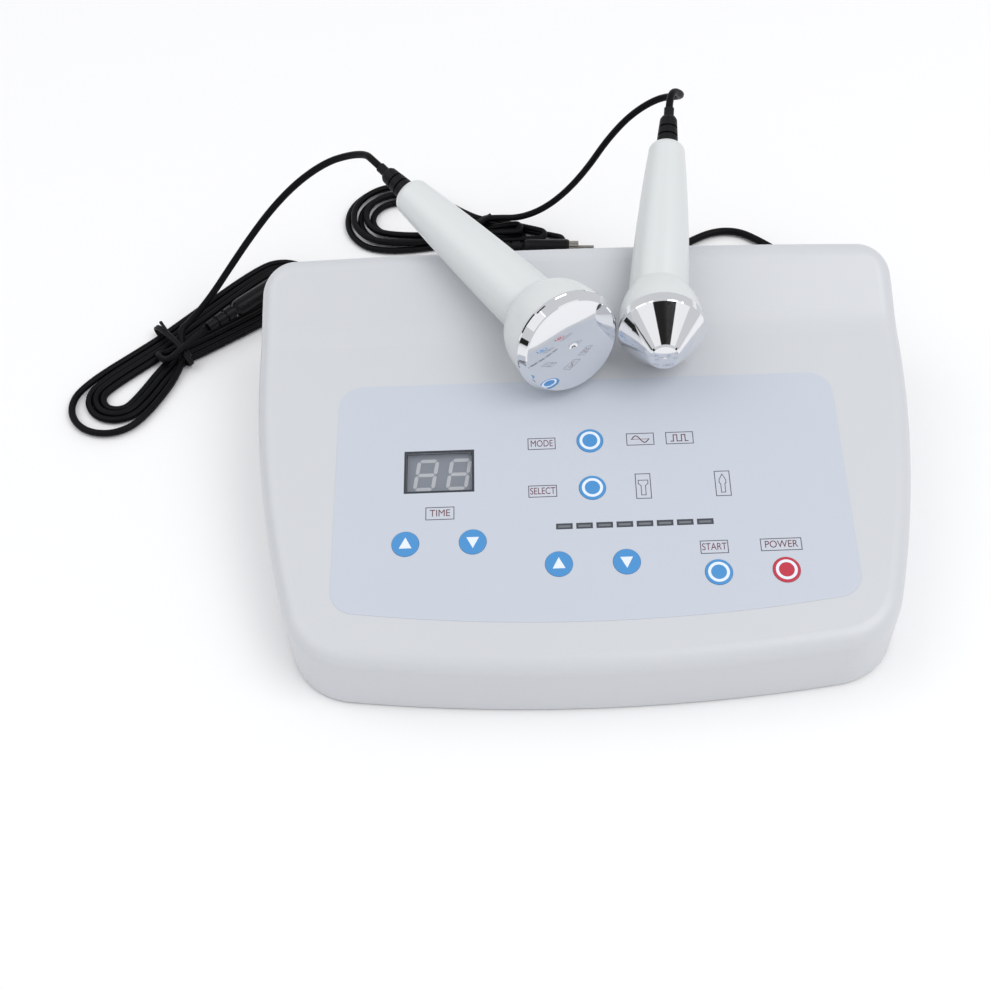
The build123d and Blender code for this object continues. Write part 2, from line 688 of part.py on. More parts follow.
# ---------------------------------------------------------------- applicators
tails = {}
for size, a in applicators.items():
    head_direction = direction(*a["head"])
    handle_direction = direction(*a["handle"])
    rim_centre = Vector(*a["rim"])
    neck_point = rim_centre - head_direction * a["neck"]
    head = Plane(origin=rim_centre, x_dir=head_direction.cross(Vector(0, 0, 1)), z_dir=head_direction)
    grip = Plane(origin=neck_point, x_dir=handle_direction.cross(Vector(0, 0, 1)), z_dir=-handle_direction)
    grip_axis = Axis(grip.origin, grip.z_dir)
    head_axis = Axis(head.origin, head.z_dir)
    length = a["handle_length"]
    tails[size] = grip.origin + grip.z_dir * (length + boot_length)

    with BuildPart() as handle_envelope:
        with BuildSketch(section(grip)):
            with BuildLine():
                Polyline((0, length), (0, -4), (a["neck_radius"], -4), (a["neck_radius"], 0))
                tail_edge = (a["tail_radius"], length - handle_tail_round)
                ThreePointArc((a["neck_radius"], 0), (a["waist_radius"], length / 2), tail_edge)
                RadiusArc(tail_edge, (boot_radius - 0.2, length), -handle_tail_round)
                Line((boot_radius - 0.2, length), (0, length))
            make_face()
        revolve(axis=grip_axis)

    with BuildPart() as handle:
        add(handle_envelope.part)
        with BuildSketch(section(grip)):
            with BuildLine():
                Polyline((0, -5), (a["neck_radius"] - handle_wall, -5), (a["neck_radius"] - handle_wall, 0))
                inner_end = length - 12
                Line((a["neck_radius"] - handle_wall, 0), (a["tail_radius"] - handle_wall, inner_end))
                Polyline((a["tail_radius"] - handle_wall, inner_end), (0, inner_end), (0, -5))
            make_face()
        revolve(axis=grip_axis, mode=Mode.SUBTRACT)
        with BuildSketch(Plane(origin=grip.origin, x_dir=grip.x_dir, z_dir=grip.z_dir).offset(length - 20)):
            Circle(boot_neck)
        extrude(amount=30, mode=Mode.SUBTRACT)
    handle.part.label = f"{size}_handle"
    export_step(handle.part, f"parts/{size}_handle.step")

    with BuildPart() as collar:
        with BuildSketch(section(head)):
            with BuildLine():
                Spline(*a["collar"])
                Polyline(a["collar"][-1], (0, a["collar"][-1][1]), (0, 0), a["collar"][0])
            make_face()
        revolve(axis=head_axis)
        with BuildSketch(section(head)):
            with BuildLine():
                Polyline((0, 0), *a["collar_bore"], (0, a["collar_bore"][-1][1]), close=True)
            make_face()
        revolve(axis=head_axis, mode=Mode.SUBTRACT)
        add(handle_envelope.part, mode=Mode.SUBTRACT)
    collar.part.label = f"{size}_collar"
    export_step(collar.part, f"parts/{size}_collar.step")

    with BuildPart() as chrome_head:
        with BuildSketch(section(head)):
            with BuildLine():
                edge, top = a["chrome"][-2:]
                Line((0, head_plate), top)
                Polyline(*a["chrome"][:-1])
                ThreePointArc(edge, crown_middle(edge, top), top)
                Polyline(
                    a["chrome"][0], (a["skirt"], 0), (a["skirt"], -4.5), (a["skirt"] - 1.4, -4.5),
                    (a["skirt"] - 1.4, head_plate), (0, head_plate),
                )
            make_face()
        revolve(axis=head_axis)
    chrome_head.part.label = f"{size}_chrome_head"
    export_step(chrome_head.part, f"parts/{size}_chrome_head.step")

    with BuildPart() as crystal:
        with BuildSketch(head.offset(head_plate - crystal_thickness)):
            Circle(a["crystal"])
        extrude(amount=crystal_thickness)
    crystal.part.label = f"{size}_crystal"
    export_step(crystal.part, f"parts/{size}_crystal.step")

    with BuildPart() as backing_ring:
        with BuildSketch(head.offset(head_plate - crystal_thickness)):
            Circle(a["skirt"] - 1.5)
            Circle(a["crystal"] - 3, mode=Mode.SUBTRACT)
        extrude(amount=-3)
    backing_ring.part.label = f"{size}_backing_ring"
    export_step(backing_ring.part, f"parts/{size}_backing_ring.step")

    with BuildPart() as boot:
        with BuildSketch(section(grip)):
            with BuildLine():
                end = length + boot_length
                Polyline(
                    (0, length - 10), (boot_neck - 0.02, length - 10), (boot_neck - 0.02, length),
                    (boot_radius, length), (4.3, length + 2.9), (3.4, length + 2.9), (3.4, length + 3.7),
                    (4.2, length + 3.7), (4.0, length + 6.6), (3.2, length + 6.6), (3.2, length + 7.4),
                    (3.9, length + 7.4), (3.6, length + 11), (2.9, length + 12.2), (boot_tip, length + 12.2),
                    (boot_tip, end), (0, end), close=True,
                )
            make_face()
        revolve(axis=grip_axis)
    boot.part.label = f"{size}_boot"
    export_step(boot.part, f"parts/{size}_boot.step")
    print(size, "neck", neck_point, "boot end", tails[size])

# ---------------------------------------------------------------- leads, hanks and plugs
large_route = [
    tuple(tails["large"]), (-84.1, 96.7, 93.9), (-87.2, 102.3, 92.4), (-95.0, 108.3, 87.6),
    (-106.1, 112.6, 80.9), (-119.6, 112.4, 71.3), (-132.6, 109.4, 59.6), (-144.6, 105.0, 46.4),
    (-155.8, 100.2, 33.0), (-165.0, 96.0, 21.8), (-172.4, 92.0, 14.5), (-177.6, 88.0, 10.8),
    (-181.5, 84.5, 9.9),
]
small_route = [
    tuple(tails["small"]), (41.5, 114.6, 107.6), (43.8, 120.3, 106.5), (47.7, 124.9, 101.4),
    (47.4, 131.5, 95.6), (39.6, 138.6, 90.2), (27.9, 141.9, 79.4), (17.6, 143.4, 64.8), (8.9, 144.2, 48.6),
    (-0.9, 145.8, 33.6), (-12.4, 148.2, 20.9), (-24.3, 151.5, 13.0), (-34.6, 155.0, 10.5),
    (-42.0, 155.6, 9.9),
]
mains_route = [
    (mains_x, rear_flat_y + bush_length, rear_row_z), (20.3, 107.5, 23.5), (24.5, 120.0, 14.0),
    (35.5, 127.5, 6.0), (48.5, 134.0, 2.4), (60.0, 143.0, 2.4), (72.0, 149.2, 2.4), (84.0, 148.6, 2.4),
    (94.0, 140.5, 2.4), (104.0, 130.0, 2.4), (115.0, 121.2, 3.6), (121.3, 109.1, 5.2), (120.8, 97.1, 6.0),
]
mains_tail_route = [(93.0, 75.9, 7.0), (82.0, 76.1, 7.0), (72.5, 79.5, 7.6), (66.0, 82.5, 8.2)]


def route_radii(points):
    """The largest tangent arc that each corner's two runs allow."""
    radii = []
    for before, here, after in zip(points, points[1:], points[2:]):
        run_in = Vector(*here) - Vector(*before)
        run_out = Vector(*after) - Vector(*here)
        half_turn = radians(run_in.get_angle(run_out)) / 2
        radii.append(0.45 * min(run_in.length, run_out.length) / tan(half_turn))
    return radii


def tube(points, diameter):
    """A round section swept along straight runs joined by tangent arcs."""
    radii = route_radii(points)
    with BuildPart() as run:
        with BuildLine() as path:
            FilletPolyline(*points, radius=radii)
        with BuildSketch(Plane(origin=path.line @ 0, z_dir=path.line % 0)):
            Circle(diameter / 2)
        sweep(path=path.line)
    run_length = sum(edge.length for edge in path.edges())
    expected = pi * diameter**2 / 4 * run_length
    print("tube", round(run_length, 1), "mm, least radius", round(min(radii), 1), end=", ")
    print("volume", round(run.part.volume, 1), "section times length", round(expected, 1))
    return run.part


for cord_name, routes, diameter in (
    ("large_cord", [large_route], probe_cord),
    ("small_cord", [small_route], probe_cord),
    ("mains_cord", [mains_route, mains_tail_route], mains_cord),
):
    with BuildPart() as cord:
        for route in routes:
            add(tube(route, diameter))
    cord.part.label = cord_name
    export_step(cord.part, f"parts/{cord_name}.step")

for hank_name, hank in hanks.items():
    with BuildPart() as hank_body:
        for near, far in (("tie", "loop"), ("tie", "end")):
            with BuildSketch(Plane.XY.offset(hank_bottom)):
                with BuildLine():
                    for centre, radius in (hank[near], hank[far]):
                        CenterArc(centre, radius, 0, 360)
                make_hull()
            extrude(amount=hank_height)
        with BuildSketch(Plane.XY.offset(hank_bottom)):
            with BuildLine():
                for centre, radius in hank["hole"]:
                    CenterArc(centre, radius, 0, 360)
            make_hull()
        extrude(amount=hank_height, mode=Mode.SUBTRACT)
    hank_body.part.label = hank_name
    export_step(hank_body.part, f"parts/{hank_name}.step")

with BuildPart() as hank_ties:
    for hank in hanks.values():
        (tie_x, tie_y), tie_radius = hank["tie"]
        (loop_x, loop_y), loop_radius = hank["loop"]
        along = Vector(loop_x - tie_x, loop_y - tie_y, 0).normalized()
        tie_plane = Plane(
            origin=(tie_x, tie_y, hank_bottom + hank_height / 2),
            x_dir=Vector(0, 0, 1).cross(along),
            z_dir=along,
        )
        with BuildSketch(tie_plane):
            RectangleRounded(2 * tie_radius + 2.4, hank_height + 1.6, 1.2)
            RectangleRounded(2 * tie_radius + 1.0, hank_height + 0.2, 0.5, mode=Mode.SUBTRACT)
        extrude(amount=0.9, both=True)
hank_ties.part.label = "hank_ties"
export_step(hank_ties.part, "parts/hank_ties.step")

with BuildPart() as mains_coil:
    with BuildSketch(Plane.XY):
        with Locations(coil_centre):
            Circle(coil_mean_radius + mains_cord)
            Circle(coil_mean_radius - mains_cord, mode=Mode.SUBTRACT)
    extrude(amount=4 * mains_cord)
mains_coil.part.label = "mains_coil"
export_step(mains_coil.part, "parts/mains_coil.step")

plug_planes = {
    plug_name: Plane(origin=start, z_dir=Vector(*heading).normalized())
    for plug_name, (start, heading) in probe_plugs.items()
}
for plug_name, plug_plane in plug_planes.items():
    with BuildPart() as plug_body:
        with BuildSketch(section(plug_plane)):
            with BuildLine():
                Polyline(
                    (0, 0), (2.1, 0), (2.4, 4), (1.9, 4), (1.9, 5.2), (2.6, 5.2), (2.9, 9), (2.3, 9),
                    (2.3, 10.2), (3.0, 10.2), (3.3, 14), (2.6, 14), (2.6, 15.2), (3.8, 16.5),
                    (plug_radius, 19), (plug_radius, 37), (3.6, 38), (3.3, 38), (0, 38), close=True,
                )
            make_face()
        revolve(axis=Axis(plug_plane.origin, plug_plane.z_dir))
    plug_body.part.label = f"{plug_name}_body"
    export_step(plug_body.part, f"parts/{plug_name}_body.step")

with BuildPart() as plug_contacts:
    for plug_plane in plug_planes.values():
        with BuildSketch(plug_plane.offset(38)):
            Circle(collar_radius)
        extrude(amount=1)
        with BuildSketch(plug_plane.offset(39)):
            Circle(collar_radius)
            Circle(collar_radius - collar_wall, mode=Mode.SUBTRACT)
        extrude(amount=3.5)
        with BuildSketch(plug_plane.offset(39)):
            Circle(pin_radius)
        extrude(amount=11)
plug_contacts.part.label = "plug_contacts"
export_step(plug_contacts.part, "parts/plug_contacts.step")

with BuildPart() as mains_plug_body:
    with BuildSketch(Plane(origin=mains_plug_start, x_dir=(0, 1, 0), z_dir=(-1, 0, 0))):
        Circle(mains_cord * 0.75)
    with BuildSketch(Plane(origin=mains_plug_start, x_dir=(0, 1, 0), z_dir=(-1, 0, 0)).offset(8)):
        RectangleRounded(12, 10, 3)
    with BuildSketch(Plane(origin=mains_plug_start, x_dir=(0, 1, 0), z_dir=(-1, 0, 0)).offset(16)):
        RectangleRounded(21, 14.5, 4)
    with BuildSketch(Plane(origin=mains_plug_start, x_dir=(0, 1, 0), z_dir=(-1, 0, 0)).offset(27)):
        RectangleRounded(22, 15.5, 4)
    loft()
mains_plug_body.part.label = "mains_plug_body"
export_step(mains_plug_body.part, "parts/mains_plug_body.step")

with BuildPart() as mains_plug_pins:
    with BuildSketch(Plane(origin=mains_plug_start, x_dir=(0, 1, 0), z_dir=(-1, 0, 0)).offset(27)):
        with GridLocations(12.7, 1, 2, 1):
            Rectangle(1.5, 6.3)
    extrude(amount=16)
mains_plug_pins.part.label = "mains_plug_pins"
export_step(mains_plug_pins.part, "parts/mains_plug_pins.step")
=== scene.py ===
from math import cos, pi, radians, sin

import bmesh
import bpy
from mathutils import Matrix, Vector


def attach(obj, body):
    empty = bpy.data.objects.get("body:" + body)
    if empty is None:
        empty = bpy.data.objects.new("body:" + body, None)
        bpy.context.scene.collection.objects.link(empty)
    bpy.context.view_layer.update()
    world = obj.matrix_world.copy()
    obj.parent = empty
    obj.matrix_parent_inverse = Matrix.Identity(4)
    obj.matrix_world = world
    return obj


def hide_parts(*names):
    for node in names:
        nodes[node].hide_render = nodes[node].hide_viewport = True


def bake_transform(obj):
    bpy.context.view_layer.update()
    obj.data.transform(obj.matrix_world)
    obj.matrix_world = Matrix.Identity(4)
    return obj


# Looks of the ultrasound therapy device: materials for the CAD nodes, the panel's printing, the
# probe leads with their tied hanks, the mains lead with its coil, and the studio round it all.
# Metres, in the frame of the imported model: +X right, +Y back, +Z up, table at Z = 0.

for name in ("Cube", "Light", "Camera"):
    if name in bpy.data.objects:
        bpy.data.objects.remove(bpy.data.objects[name])
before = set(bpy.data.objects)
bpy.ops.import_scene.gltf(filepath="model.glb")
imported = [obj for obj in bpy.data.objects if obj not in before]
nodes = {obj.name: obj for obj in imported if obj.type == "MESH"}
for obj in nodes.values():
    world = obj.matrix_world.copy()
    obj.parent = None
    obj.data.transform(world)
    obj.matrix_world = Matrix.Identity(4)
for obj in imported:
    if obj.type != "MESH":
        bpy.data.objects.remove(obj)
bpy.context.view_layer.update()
MM = 0.001


def link(name, data):
    """A new object in the scene, from its mesh, curve, light or camera data."""
    piece = bpy.data.objects.new(name, data)
    bpy.context.scene.collection.objects.link(piece)
    return piece


# ---------------------------------------------------------------- materials
def linear(colour):
    """Linear colour from sRGB given as 0 to 255, by the sRGB standard's own curve."""
    shares = [c / 255 for c in colour]
    return [c / 12.92 if c < 0.0392 else ((c + 0.055) / 1.055) ** 2.4 for c in shares] + [1.0]


def surface(name, colour, roughness, tint=0.04, tint_size=30, spread=0.06, grain=0.5, depth=0.01, **sockets):
    """A material with a slow drift of tint, a drift of gloss and a fine grain. Sizes in millimetres.

    tint is the colour's drift as a share of it, spread the drift of roughness, depth the grain's relief."""
    made = bpy.data.materials.new(name)
    made.use_nodes = True
    tree = made.node_tree
    shader = tree.nodes["Principled BSDF"]
    place = tree.nodes.new("ShaderNodeTexCoord")

    def noise(size, detail):
        cloud = tree.nodes.new("ShaderNodeTexNoise")
        cloud.inputs["Scale"].default_value = 1 / (size * MM)
        cloud.inputs["Detail"].default_value = detail
        tree.links.new(place.outputs["Object"], cloud.inputs["Vector"])
        return cloud.outputs["Fac"]

    drift = tree.nodes.new("ShaderNodeMix")
    drift.data_type = "RGBA"
    base = linear(colour)
    drift.inputs["A"].default_value = [c * (1 - tint) for c in base[:3]] + [1]
    drift.inputs["B"].default_value = [min(1, c * (1 + tint)) for c in base[:3]] + [1]
    tree.links.new(noise(tint_size, 3), drift.inputs["Factor"])
    tree.links.new(drift.outputs["Result"], shader.inputs["Base Color"])

    gloss = tree.nodes.new("ShaderNodeMapRange")
    gloss.inputs["To Min"].default_value = max(0.0, roughness - spread)
    gloss.inputs["To Max"].default_value = min(1.0, roughness + spread)
    tree.links.new(noise(tint_size / 4, 4), gloss.inputs["Value"])
    tree.links.new(gloss.outputs["Result"], shader.inputs["Roughness"])

    relief = tree.nodes.new("ShaderNodeBump")
    relief.inputs["Distance"].default_value = depth * MM
    tree.links.new(noise(grain, 2), relief.inputs["Height"])
    tree.links.new(relief.outputs["Normal"], shader.inputs["Normal"])
    for socket, value in sockets.items():
        shader.inputs[socket.replace("_", " ")].default_value = value
    return made


white_shell = surface("white_shell", (204, 206, 210), 0.36, tint=0.012, grain=0.7, depth=0.008)
underside = surface("underside", (190, 192, 196), 0.5, tint=0.02, grain=0.5, depth=0.03)
film = surface("panel_film", (196, 202, 212), 0.34, tint=0.008, grain=0.22, depth=0.005)
probe_white = surface(
    "probe_white", (215, 218, 218), 0.3,
    tint=0.006, tint_size=25, spread=0.02, grain=0.6, depth=0.004,
)
chrome = surface(
    "chrome", (232, 233, 236), 0.045,
    tint=0.01, spread=0.02, grain=4, depth=0.004, Metallic=1.0,
)
nickel = surface(
    "nickel", (158, 154, 148), 0.2,
    tint=0.05, tint_size=4, grain=0.3, depth=0.01, Metallic=1.0,
)
zinc = surface(
    "zinc_steel", (176, 178, 182), 0.34,
    tint=0.06, tint_size=3, grain=0.25, depth=0.015, Metallic=1.0,
)
key_blue = surface("key_blue", (70, 143, 204), 0.33, tint=0.02, tint_size=5, grain=0.2, depth=0.008)
key_red = surface("key_red", (190, 44, 66), 0.33, tint=0.02, tint_size=5, grain=0.2, depth=0.008)
ink_white = surface("ink_white", (228, 236, 247), 0.4, tint=0.01, grain=0.15, depth=0.004)
ink_red = surface("ink_dark_red", (104, 50, 68), 0.45, tint=0.05, tint_size=2, grain=0.15, depth=0.004)
ink_grey = surface("ink_grey", (92, 88, 104), 0.45, tint=0.05, tint_size=2, grain=0.15, depth=0.004)
lamp_dark = surface("lamp_dark", (66, 68, 76), 0.3, tint=0.04, tint_size=3, grain=0.3, depth=0.006)
lamp_pale = surface("lamp_pale", (112, 116, 124), 0.35, tint=0.04, tint_size=3, grain=0.3, depth=0.006)
display_grey = surface(
    "display_grey", (150, 156, 166), 0.42,
    tint=0.03, tint_size=6, grain=0.3, depth=0.006,
)
smoked = surface(
    "smoked_window", (96, 100, 108), 0.12,
    tint=0.03, tint_size=6, grain=3, depth=0.002, Alpha=0.12,
)
display_edge = surface("display_edge", (46, 50, 60), 0.35, tint=0.04, tint_size=6, grain=0.3, depth=0.006)
digit_pale = surface("digit_pale", (214, 217, 222), 0.4, tint=0.04, tint_size=2, grain=0.3, depth=0.006)
rubber = surface(
    "black_rubber", (4, 5, 7), 0.5,
    tint=0.12, tint_size=8, grain=0.35, depth=0.02, Specular_IOR_Level=0.22,
)
jacket = surface(
    "cord_jacket", (1, 2, 4), 0.48,
    tint=0.15, tint_size=12, grain=0.8, depth=0.01, Specular_IOR_Level=0.14,
)
moulded_black = surface(
    "moulded_black", (3, 4, 6), 0.36,
    tint=0.1, tint_size=10, grain=0.6, depth=0.01, Specular_IOR_Level=0.2,
)
ceramic = surface("ceramic", (226, 221, 206), 0.55, tint=0.03, tint_size=3, grain=0.2, depth=0.01)
board_green = surface("board_green", (24, 92, 58), 0.38, tint=0.1, tint_size=6, grain=0.5, depth=0.02)
laminations = surface("laminations", (54, 56, 60), 0.5, tint=0.15, tint_size=2, grain=0.35, depth=0.05)
copper = surface(
    "copper_winding", (178, 104, 58), 0.35,
    tint=0.12, tint_size=3, grain=0.4, depth=0.05, Metallic=0.6,
)
fins = surface(
    "aluminium_fins", (186, 189, 194), 0.32,
    tint=0.05, tint_size=4, grain=0.3, depth=0.02, Metallic=1.0,
)
ferrite = surface("ferrite", (62, 58, 56), 0.55, tint=0.1, tint_size=3, grain=0.3, depth=0.03)
sleeve = surface("capacitor_sleeve", (30, 42, 96), 0.3, tint=0.06, tint_size=4, grain=0.5, depth=0.008)
ribbon_grey = surface("ribbon_grey", (164, 168, 172), 0.45, tint=0.05, tint_size=2, grain=0.6, depth=0.02)
fuse_glass = surface("fuse_glass", (208, 212, 212), 0.12, tint=0.04, tint_size=5, grain=1, depth=0.004)

finish = {
    "upper_housing": white_shell, "base_plate": underside, "rubber_feet": rubber, "housing_screws": zinc,
    "panel_overlay": film, "display_lens": smoked, "lamp_windows": lamp_dark, "power_key": key_red,
    "tact_switches": moulded_black, "display_module": display_grey, "bar_lamps": lamp_pale,
    "control_board": board_green, "board_screws": zinc, "buzzer": moulded_black, "ribbon_cable": ribbon_grey,
    "power_circuit_board": board_green, "transformer_core": laminations, "transformer_winding": copper,
    "heat_sink": fins, "power_transistors": moulded_black, "output_coils": ferrite, "capacitors": sleeve,
    "probe_sockets": nickel, "rear_nuts": zinc, "fuse_holder": moulded_black, "fuse": fuse_glass,
    "fuse_cap": moulded_black, "mains_bush": rubber, "large_plug_body": moulded_black,
    "small_plug_body": moulded_black, "plug_contacts": nickel, "mains_plug_body": rubber,
    "mains_plug_pins": nickel,
}
for key in ("time_up", "time_down", "intensity_up", "intensity_down", "mode", "select", "start"):
    finish[f"{key}_key"] = key_blue
for size in ("large", "small"):
    finish[f"{size}_handle"] = probe_white
    finish[f"{size}_collar"] = probe_white
    finish[f"{size}_chrome_head"] = chrome
    finish[f"{size}_crystal"] = ceramic
    finish[f"{size}_backing_ring"] = moulded_black
    finish[f"{size}_boot"] = rubber
for node, look in finish.items():
    for place in nodes[node].material_slots:
        place.link = "OBJECT"
        place.material = look

# ---------------------------------------------------------------- printing on the panel
FILM_FACE = 0.15 * MM  # the film's face over the panel plane
KEY_FACE = 0.45 * MM  # a key's face over the panel plane
MODULE_FACE = -2.35 * MM  # the display's face, under its window
INK = 0.03 * MM  # a print's thickness
SUNK = 0.01 * MM  # how far a print starts below the face under it
CAP_SHARE = 0.7  # a capital's height as a share of the lettering's size
panel_slope = radians(10)
front_y = -113.5 * MM
panel_origin = Vector((0, front_y + 56.1 * MM, 30 * MM + 56.1 * MM * sin(panel_slope) / cos(panel_slope)))
panel = Matrix.Translation(panel_origin) @ Matrix.Rotation(panel_slope, 4, "X")


def circle(x, y, radius, steps=48):
    """Points round a circle, in millimetres on the panel."""
    turns = [2 * pi * i / steps for i in range(steps)]
    return [(x + radius * cos(turn), y + radius * sin(turn)) for turn in turns]


def rectangle(x, y, width, height):
    w, h = width / 2, height / 2
    return [(x - w, y - h), (x + w, y - h), (x + w, y + h), (x - w, y + h)]


def box_line(x, y, width, height, line):
    """The outer and inner outline of a rectangle's printed line."""
    return rectangle(x, y, width, height), rectangle(x, y, width - 2 * line, height - 2 * line)


def strokes(points, width):
    """Bars of one width along a broken line, one outline for each run."""
    bars = []
    for (x1, y1), (x2, y2) in zip(points, points[1:]):
        along = Vector((x2 - x1, y2 - y1)).normalized() * width / 2
        across = Vector((-along.y, along.x))
        a, b = Vector((x1, y1)) - along, Vector((x2, y2)) + along
        bars.append([tuple(a - across), tuple(b - across), tuple(b + across), tuple(a + across)])
    return bars


def printed(name, look, filled, framed=(), lift=FILM_FACE, body="console", thick=INK):
    """A print on the panel, from outlines in millimetres. framed holds pairs of outer and inner outline."""
    shape = bmesh.new()
    low, high = lift - SUNK, lift + thick

    def ring_of(outline, height):
        return [shape.verts.new((x * MM, y * MM, height)) for x, y in outline]

    for outline in filled:
        below, above = ring_of(outline, low), ring_of(outline, high)
        shape.faces.new(above)
        shape.faces.new(below[::-1])
        for i in range(len(outline)):
            j = (i + 1) % len(outline)
            shape.faces.new((below[i], below[j], above[j], above[i]))
    for outer, inner in framed:
        rings = [ring_of(outer, low), ring_of(outer, high), ring_of(inner, high), ring_of(inner, low)]
        for i in range(len(outer)):
            j = (i + 1) % len(outer)
            for near, far in zip(rings, rings[1:] + rings[:1]):
                shape.faces.new((near[i], near[j], far[j], far[i]))
    bmesh.ops.recalc_face_normals(shape, faces=shape.faces)
    mesh = bpy.data.meshes.new(name)
    shape.to_mesh(mesh)
    shape.free()
    mesh.transform(panel)
    piece = link(name, mesh)
    mesh.materials.append(look)
    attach(piece, body)


def lettered(name, word, x, y, cap_height, width):
    """A plain generic word on the film, squeezed to a width in millimetres."""
    letters = bpy.data.curves.new(name + "_letters", "FONT")
    letters.body = word
    letters.align_x = "CENTER"
    letters.align_y = "CENTER"
    letters.size = cap_height * MM / CAP_SHARE
    letters.extrude = INK / 2
    sample = link(name + "_sample", letters)
    bpy.context.view_layer.update()
    mesh = bpy.data.meshes.new_from_object(sample.evaluated_get(bpy.context.evaluated_depsgraph_get()))
    drawn_width = sample.dimensions.x
    bpy.data.objects.remove(sample)
    mesh.name = name
    mesh.transform(Matrix.Diagonal((width * MM / drawn_width, 1, 1, 1)))
    mesh.transform(panel @ Matrix.Translation((x * MM, y * MM, FILM_FACE + INK / 2)))
    mesh.materials.clear()
    mesh.materials.append(ink_red)
    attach(link(name, mesh), "console")


RING_OUTER, RING_INNER = 4.05, 2.95  # the white ring on a key
ARROW_WIDE, ARROW_TALL = 4.8, 4.7
keys = {
    "time_up": (-69.8, -5.2), "time_down": (-44.5, -5.2), "intensity_up": (-12.5, -15.6),
    "intensity_down": (12.8, -15.6), "mode": (1.5, 36.9), "select": (1.5, 16.05), "start": (46.65, -21.2),
    "power": (71.85, -21.2),
}
for key, (x, y) in keys.items():
    if key.endswith(("_up", "_down")):
        tip = ARROW_TALL / 2 if key.endswith("_up") else -ARROW_TALL / 2
        foot = y - 0.8 * tip
        arrow = [(x - ARROW_WIDE / 2, foot), (x + ARROW_WIDE / 2, foot), (x, y + tip * 1.15)]
        printed(f"{key}_arrow", ink_white, [arrow], lift=KEY_FACE, body=f"{key}_key")
    else:
        ring = (circle(x, y, RING_OUTER), circle(x, y, RING_INNER))
        printed(f"{key}_ring", ink_white, [], [ring], lift=KEY_FACE, body=f"{key}_key")

# Each word's place, its frame's width and height, and the word's own width
labels = {
    "TIME": (-56.9, 7.3, 11.0, 5.5, 7.7), "MODE": (-17.4, 36.3, 10.9, 5.2, 8.6),
    "SELECT": (-17.6, 15.3, 11.0, 5.2, 9.6), "START": (45.9, -10.8, 10.6, 5.5, 9.2),
    "POWER": (71.0, -10.7, 15.6, 5.2, 12.4),
}
FRAME_LINE = 0.34
LETTER_TALL = 2.9
boxes = []
for word, (x, y, width, height, word_width) in labels.items():
    boxes.append(box_line(x, y, width, height, FRAME_LINE))
    lettered(f"{word.lower()}_label", word, x, y, LETTER_TALL, word_width)
for x in (21.2, 36.6):
    boxes.append(box_line(x, 36.9, 10.9, 5.5, FRAME_LINE))
for x in (21.05, 51.6):
    boxes.append(box_line(x, 16.05, 6, 11, FRAME_LINE))
printed("label_frames", ink_grey, [], boxes)

# The symbols in the four boxes: a sine, a pulse train, a wide probe and a pointed probe
WAVE_LINE, AXIS_LINE, PROBE_LINE = 0.38, 0.2, 0.3
sine = [(21.2 + (i - 8) * 0.42, 36.9 + 1.5 * sin(i * pi / 8)) for i in range(17)]
pulse = [(33.2, 35.5), (34.2, 35.5), (34.2, 38.3), (35.6, 38.3), (35.6, 35.5), (37.4, 35.5), (37.4, 38.3),
         (38.8, 38.3), (38.8, 35.5), (39.9, 35.5)]
axis = [(17.6, 36.9), (24.8, 36.9)]
wave_lines = strokes(sine, WAVE_LINE) + strokes(axis, AXIS_LINE) + strokes(pulse, WAVE_LINE)
printed("wave_symbols", ink_red, wave_lines)
big_probe = [(19.2, 18.6), (22.9, 18.6), (22.9, 17.2), (21.9, 16.2), (21.9, 12.2), (20.2, 12.2), (20.2, 16.2),
             (19.2, 17.2), (19.2, 18.6)]
small_probe = [(51.6, 20.1), (50.3, 17.6), (50.3, 16.4), (50.8, 15.8), (50.8, 12.2), (52.4, 12.2),
               (52.4, 15.8), (52.9, 16.4), (52.9, 17.6), (51.6, 20.1)]
printed("probe_symbols", ink_grey, strokes(big_probe, PROBE_LINE) + strokes(small_probe, PROBE_LINE))

# The dark rim of the display window, its two unlit slanted digits and the lamps' pale middles
window = (-57.3, 25.5, 27.1, 18.6)
RIM = 0.9
RIM_THICK = 0.12 * MM
printed("display_rim", display_edge, [], [box_line(*window, RIM)], lift=0.0, thick=RIM_THICK)
DIGITS_X, DIGITS_Y, DIGIT_PITCH = -56.2, 25.4, 12.7
DIGIT_WIDE, DIGIT_TALL, SEGMENT, SEGMENT_GAP, SLANT = 7.0, 12.4, 1.45, 0.25, 0.15


def digit(x, y):
    """The seven segments of a slanted digit as outlines, centred on x, y."""
    w, h, s, gap = DIGIT_WIDE / 2, DIGIT_TALL / 2, SEGMENT / 2, SEGMENT_GAP
    end, shoulder = w - gap, w - gap - s
    level = [(-end, 0), (-shoulder, s), (shoulder, s), (end, 0), (shoulder, -s), (-shoulder, -s)]
    upright = [(0, gap), (s, gap + s), (s, h - gap - s), (0, h - gap), (-s, h - gap - s), (-s, gap + s)]
    segments = [[(a, b + dy) for a, b in level] for dy in (-h, 0, h)]
    segments += [[(a + dx, b + dy) for a, b in upright] for dx in (-w, w) for dy in (-h, 0)]
    return [[(x + a + SLANT * b, y + b) for a, b in outline] for outline in segments]


